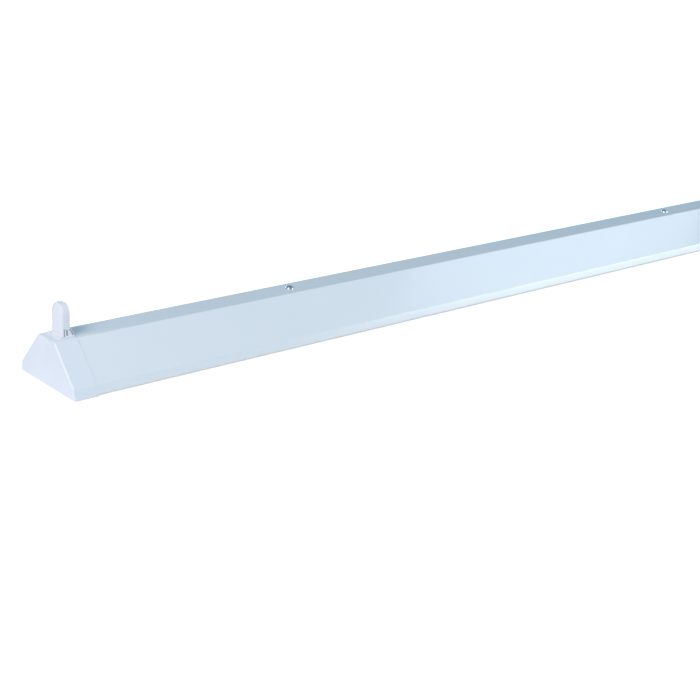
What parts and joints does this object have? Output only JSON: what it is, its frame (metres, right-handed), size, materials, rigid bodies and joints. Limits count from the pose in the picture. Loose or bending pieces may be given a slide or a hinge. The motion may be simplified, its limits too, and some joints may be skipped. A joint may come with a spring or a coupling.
{
  "type": "tube light fixture",
  "caption": "Bare batten fixture for one straight tube: folded trapezoid cover with screws on top, moulded end caps, and a ribbed tombstone lampholder with a turning rotor at each end.",
  "frame": {"origin": "centre of the mounting face, which lies on the ceiling", "axes": "+X along the fixture towards the ballast's end, +Y across it, +Z out of the ceiling, from the mounting face to the lampholders"},
  "size_m": [1.2418, 0.104, 0.0812],
  "materials": {
    "spine_paint": "gloss",
    "tray_paint": "gloss",
    "post_steel": "satin",
    "nut_steel": "satin",
    "cover_screw_steel": "polished",
    "fixing_steel": "satin",
    "retainer_nylon": "satin",
    "cap_plastic": "gloss",
    "grommet_rubber": "matte",
    "block_plastic": "satin",
    "terminal_brass": "satin",
    "tag_brass": "satin",
    "ballast_steel": "satin",
    "board_laminate": "satin",
    "choke_ferrite": "matte",
    "capacitor_plastic": "satin",
    "push_in_plastic": "satin",
    "neutral_insulation": "satin",
    "live_insulation": "satin",
    "earth_insulation": "satin",
    "lamp_insulation_left": "satin",
    "lamp_insulation_right": "satin",
    "clip_nylon": "satin",
    "holder_plastic": "gloss",
    "back_plastic": "gloss",
    "rotor_plastic": "gloss",
    "contact_brass": "satin"
  },
  "bodies": {
    "fixture": {"gear_tray": "tray_paint", "cover_post_left": "post_steel", "cover_post_right": "post_steel", "post_nuts": "nut_steel", "end_cap_left": "cap_plastic", "end_cap_right": "cap_plastic", "end_cap_screws": "fixing_steel", "cable_grommet": "grommet_rubber", "mains_terminal_block": "block_plastic", "terminal_cages": "terminal_brass", "terminal_screws": "fixing_steel", "terminal_block_screws": "fixing_steel", "earth_tag": "tag_brass", "earth_screw": "fixing_steel", "ballast_case": "ballast_steel", "ballast_cover": "ballast_steel", "ballast_board": "board_laminate", "ballast_choke": "choke_ferrite", "ballast_capacitors": "capacitor_plastic", "ballast_input_terminal": "push_in_plastic", "ballast_output_terminal": "push_in_plastic", "ballast_screws": "fixing_steel", "neutral_lead": "neutral_insulation", "live_lead": "live_insulation", "earth_lead": "earth_insulation", "lamp_leads_left": "lamp_insulation_left", "lamp_leads_right": "lamp_insulation_right", "lead_clips": "clip_nylon", "lampholder_housing_left": "holder_plastic", "lampholder_back_left": "back_plastic", "lampholder_contacts_left": "contact_brass", "lampholder_housing_right": "holder_plastic", "lampholder_back_right": "back_plastic", "lampholder_contacts_right": "contact_brass"},
    "cover": {"cover_spine": "spine_paint"},
    "retainer_left": {"screw_retainer_left": "retainer_nylon"},
    "screw_left": {"cover_screw_left": "cover_screw_steel"},
    "rotor_left": {"lampholder_rotor_left": "rotor_plastic"},
    "retainer_right": {"screw_retainer_right": "retainer_nylon"},
    "screw_right": {"cover_screw_right": "cover_screw_steel"},
    "rotor_right": {"lampholder_rotor_right": "rotor_plastic"}
  },
  "joints": [
    {"name": "cover_lift", "type": "slide", "parent": "fixture", "child": "cover", "axis": [0, 0, 1], "range_m": [0, 0.1]},
    {"name": "cover_screw_left_rise", "type": "slide", "parent": "cover", "child": "retainer_left", "axis": [0, 0, 1], "range_m": [0, 0.004]},
    {"name": "cover_screw_left_turn", "type": "hinge", "parent": "retainer_left", "child": "screw_left", "pos_m": [-0.328, 0, 0.048], "axis": [0, 0, 1], "range_deg": [0, 1800]},
    {"name": "lampholder_left_rotor", "type": "hinge", "parent": "fixture", "child": "rotor_left", "pos_m": [-0.6083, 0, 0.0709], "axis": [1, 0, 0], "range_deg": [-90, 90]},
    {"name": "cover_screw_right_rise", "type": "slide", "parent": "cover", "child": "retainer_right", "axis": [0, 0, 1], "range_m": [0, 0.004]},
    {"name": "cover_screw_right_turn", "type": "hinge", "parent": "retainer_right", "child": "screw_right", "pos_m": [0.328, 0, 0.048], "axis": [0, 0, 1], "range_deg": [0, 1800]},
    {"name": "lampholder_right_rotor", "type": "hinge", "parent": "fixture", "child": "rotor_right", "pos_m": [0.6083, 0, 0.0709], "axis": [1, 0, 0], "range_deg": [-90, 90]}
  ],
  "couplings": [
    {"joint": "cover_screw_left_turn", "follows": "cover_screw_left_rise", "rad_per_m": 7853.9},
    {"joint": "cover_screw_right_turn", "follows": "cover_screw_right_rise", "rad_per_m": 7853.9}
  ]
}
